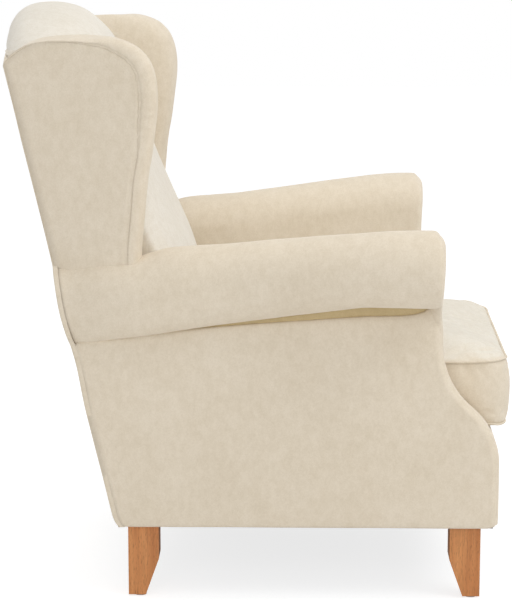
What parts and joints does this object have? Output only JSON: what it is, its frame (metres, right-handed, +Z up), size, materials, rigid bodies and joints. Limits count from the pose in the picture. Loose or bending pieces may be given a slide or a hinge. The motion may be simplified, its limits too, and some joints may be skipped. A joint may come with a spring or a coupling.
{
  "type": "wingback chair",
  "caption": "Upholstered chair with a tall leaning back, side wings, scroll arms, a loose piped seat cushion and tapered wooden legs, for sitting in a living room.",
  "frame": {"origin": "on the floor, under the middle of the whole chair", "axes": "+Z up, the chair faces -Y, +X towards the sitter's left arm"},
  "size_m": [0.868, 0.906, 1.0507],
  "materials": {
    "upholstery": "matte",
    "piping": "matte",
    "frame_wood": "matte",
    "leg_wood": "satin",
    "fibreboard": "matte",
    "foam": "matte",
    "dust_cloth": "matte",
    "burlap": "matte",
    "webbing": "matte",
    "deck_cloth": "matte",
    "spring_steel": "satin",
    "zinc_steel": "satin",
    "glide_steel": "polished",
    "zip_tape": "matte",
    "zip_brass": "satin"
  },
  "bodies": {
    "chair": {"arm_cover_left": "upholstery", "arm_cover_right": "upholstery", "arm_facing_left": "upholstery", "arm_facing_right": "upholstery", "arm_pad_left": "foam", "arm_pad_right": "foam", "arm_post_left": "frame_wood", "arm_post_right": "frame_wood", "arm_rails": "frame_wood", "arm_scroll_boards": "frame_wood", "arm_tack_rails": "frame_wood", "back_post_left": "frame_wood", "back_post_right": "frame_wood", "back_webbing": "webbing", "block_screws": "zinc_steel", "corner_blocks": "frame_wood", "deck_cover": "deck_cloth", "deck_pad": "foam", "dust_cover": "dust_cloth", "front_border_cover": "upholstery", "front_border_pad": "foam", "front_leg_left": "leg_wood", "front_leg_right": "leg_wood", "front_seat_rail": "frame_wood", "hanger_bolts": "zinc_steel", "inside_back_cover": "upholstery", "inside_back_pad": "foam", "inside_wing_cover_left": "upholstery", "inside_wing_cover_right": "upholstery", "leg_glides": "glide_steel", "lumbar_back_rail": "frame_wood", "outside_arm_boards": "fibreboard", "outside_arm_cover_left": "upholstery", "outside_arm_cover_right": "upholstery", "outside_back_board": "fibreboard", "outside_back_cover": "upholstery", "outside_wing_cover_left": "upholstery", "outside_wing_cover_right": "upholstery", "rear_leg_left": "leg_wood", "rear_leg_right": "leg_wood", "rear_seat_rail": "frame_wood", "seat_springs": "spring_steel", "side_rail_left": "frame_wood", "side_rail_right": "frame_wood", "spring_burlap": "burlap", "spring_clips": "spring_steel", "tee_nuts": "zinc_steel", "top_back_rail": "frame_wood", "wing_border_left": "upholstery", "wing_border_right": "upholstery", "wing_frames": "frame_wood", "wing_pad_left": "foam", "wing_pad_right": "foam"},
    "seat_cushion": {"cushion_core": "foam", "cushion_cover": "upholstery", "cushion_piping": "piping", "zip_tape_and_chain": "zip_tape"},
    "zip_slider": {"zip_slider": "zip_brass"},
    "zip_pull": {"zip_pull": "zip_brass"}
  },
  "joints": [
    {"name": "cushion_lift", "type": "slide", "parent": "chair", "child": "seat_cushion", "axis": [0, 0, 1], "range_m": [0, 0.4]},
    {"name": "zip_slide", "type": "slide", "parent": "seat_cushion", "child": "zip_slider", "axis": [-1, 0, 0], "range_m": [0, 0.359]},
    {"name": "zip_pull_swing", "type": "hinge", "parent": "zip_slider", "child": "zip_pull", "pos_m": [0.1795, 0.0893, 0.3683], "axis": [0, 1, 0], "range_deg": [-75, 75]}
  ]
}
